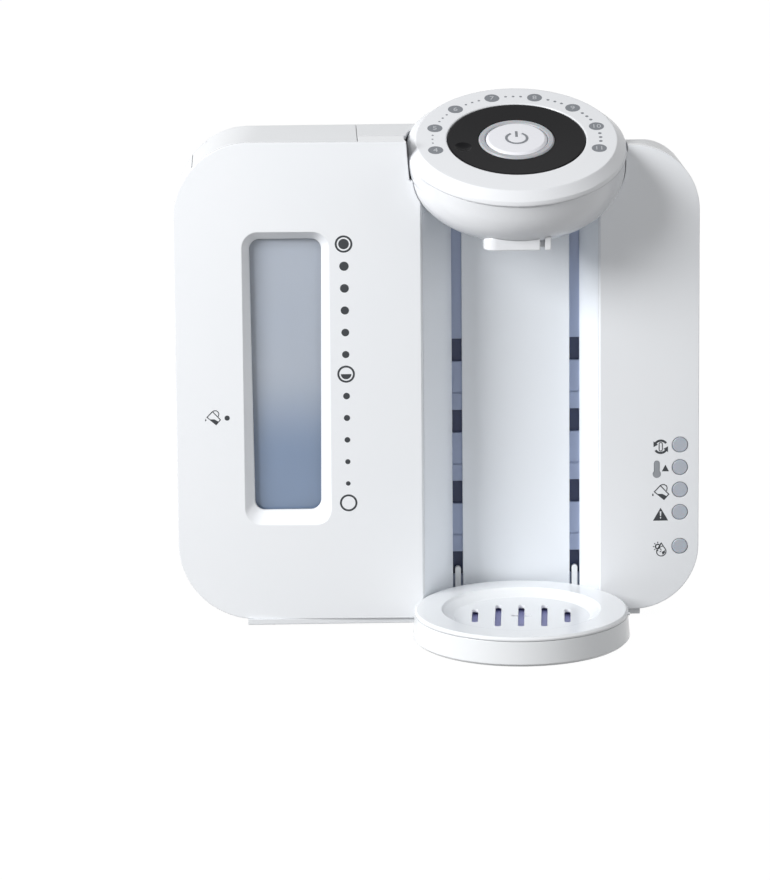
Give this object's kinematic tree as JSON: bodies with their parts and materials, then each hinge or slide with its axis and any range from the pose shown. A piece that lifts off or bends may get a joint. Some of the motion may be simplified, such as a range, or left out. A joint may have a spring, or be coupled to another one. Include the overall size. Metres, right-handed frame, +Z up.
{
  "type": "baby formula maker",
  "caption": "Counter-top formula maker: lift-out water tank and level window on the left, round tilted control head over an open bottle bay, height-adjustable drip stand on rails.",
  "frame": {"origin": "under the middle of the whole machine, on the table", "axes": "+X to the machine's right as its user sees it, +Y to the back, +Z up"},
  "size_m": [0.32, 0.1823, 0.3212],
  "materials": {
    "board_green": "glass fibre board with solder mask",
    "button_white": "moulded ABS, glossy",
    "dial_black": "moulded ABS, black satin",
    "filter_cap_white": "moulded polypropylene",
    "filter_white": "moulded polypropylene",
    "float_white": "closed hollow float",
    "foot_rubber": "moulded rubber, matt",
    "lamp_guide": "frosted light guide",
    "light_guide": "frosted light guide",
    "liner_white": "moulded ABS, semi gloss",
    "media_grey": "packed filter granules",
    "panel_white": "moulded ABS with a glossy surface",
    "rail_grey": "moulded ABS, satin",
    "seal_rubber": "moulded silicone rubber",
    "shell_white": "moulded ABS, semi gloss",
    "spring_steel": "spring wire",
    "stand_white": "moulded ABS, glossy",
    "steel": "drawn stainless steel",
    "strip_navy": "moulded ABS, dark blue",
    "switch_black": "moulded nylon",
    "tank_clear": "clear moulded plastic with a blue tint",
    "tank_lid_white": "moulded ABS, semi gloss",
    "works_grey": "glass-filled nylon"
  },
  "bodies": {
    "housing": {"base_plate": "shell_white", "bay_floor": "shell_white", "bay_wall": "shell_white", "boiler": "steel", "boiler_cradle": "works_grey", "case_screws": "steel", "control_board": "board_green", "cord_gland": "seal_rubber", "descale_lamp": "lamp_guide", "dial_board": "board_green", "dial_carrier": "works_grey", "fill_lamp": "lamp_guide", "head_bowl": "panel_white", "head_cover": "panel_white", "heat_lamp": "lamp_guide", "lamp_board": "board_green", "left_fascia": "panel_white", "light_ring": "light_guide", "nozzle_block": "panel_white", "nozzle_outlets": "seal_rubber", "pump": "works_grey", "rail_left": "rail_grey", "rail_right": "rail_grey", "rear_shell": "shell_white", "recess_liner": "liner_white", "right_fascia": "panel_white", "rubber_feet": "foot_rubber", "socket_seal": "seal_rubber", "start_spring": "spring_steel", "step_strip_left": "strip_navy", "step_strip_right": "strip_navy", "switch_housing": "switch_black", "tank_socket": "works_grey"},
    "dial": {"selector_dial": "dial_black"},
    "start_key": {"start_button": "button_white"},
    "filter_key": {"filter_button": "lamp_guide"},
    "clean_key": {"clean_button": "lamp_guide"},
    "rocker": {"power_rocker": "switch_black"},
    "stand": {"stand_cup": "stand_white"},
    "cover": {"drip_cover": "stand_white"},
    "tank": {"water_tank": "tank_clear"},
    "lid": {"tank_lid": "tank_lid_white"},
    "filter": {"filter_case": "filter_white", "filter_cap": "filter_cap_white", "filter_media": "media_grey"},
    "float": {"level_float": "float_white"}
  },
  "joints": [
    {"name": "dial_turn", "type": "hinge", "parent": "housing", "child": "dial", "pos_m": [0.0487, 0.0196, 0.3013], "axis": [0, -0.3269, 0.9451], "range_deg": [-208.25, 0]},
    {"name": "start_press", "type": "slide", "parent": "housing", "child": "start_key", "axis": [0, 0.3269, -0.9451], "range_m": [0, 0.0015], "stiffness_N_per_m": 400, "springref_m": -0.002, "deforming": ["start_spring"]},
    {"name": "filter_press", "type": "slide", "parent": "housing", "child": "filter_key", "axis": [0, 1, 0], "range_m": [0, 0.001], "stiffness_N_per_m": 300, "springref_m": -0.0015},
    {"name": "clean_press", "type": "slide", "parent": "housing", "child": "clean_key", "axis": [0, 1, 0], "range_m": [0, 0.001], "stiffness_N_per_m": 300, "springref_m": -0.0015},
    {"name": "power_tilt", "type": "hinge", "parent": "housing", "child": "rocker", "pos_m": [0.084, 0.0856, 0.044], "axis": [1, 0, 0], "range_deg": [0, 18]},
    {"name": "stand_height", "type": "slide", "parent": "housing", "child": "stand", "axis": [0, 0, 1], "range_m": [0, 0.1356]},
    {"name": "cover_lift", "type": "slide", "parent": "stand", "child": "cover", "axis": [0, 0, 1], "range_m": [0, 0.04]},
    {"name": "tank_lift", "type": "slide", "parent": "housing", "child": "tank", "axis": [0, 0, 1], "range_m": [0, 0.3]},
    {"name": "lid_hinge", "type": "hinge", "parent": "tank", "child": "lid", "pos_m": [-0.098, 0.0771, 0.2893], "axis": [-1, 0, 0], "range_deg": [0, 90]},
    {"name": "filter_lift", "type": "slide", "parent": "tank", "child": "filter", "axis": [0, 0, 1], "range_m": [0, 0.125]},
    {"name": "float_rise", "type": "slide", "parent": "tank", "child": "float", "axis": [0, 0, 1], "range_m": [0, 0.012]}
  ]
}
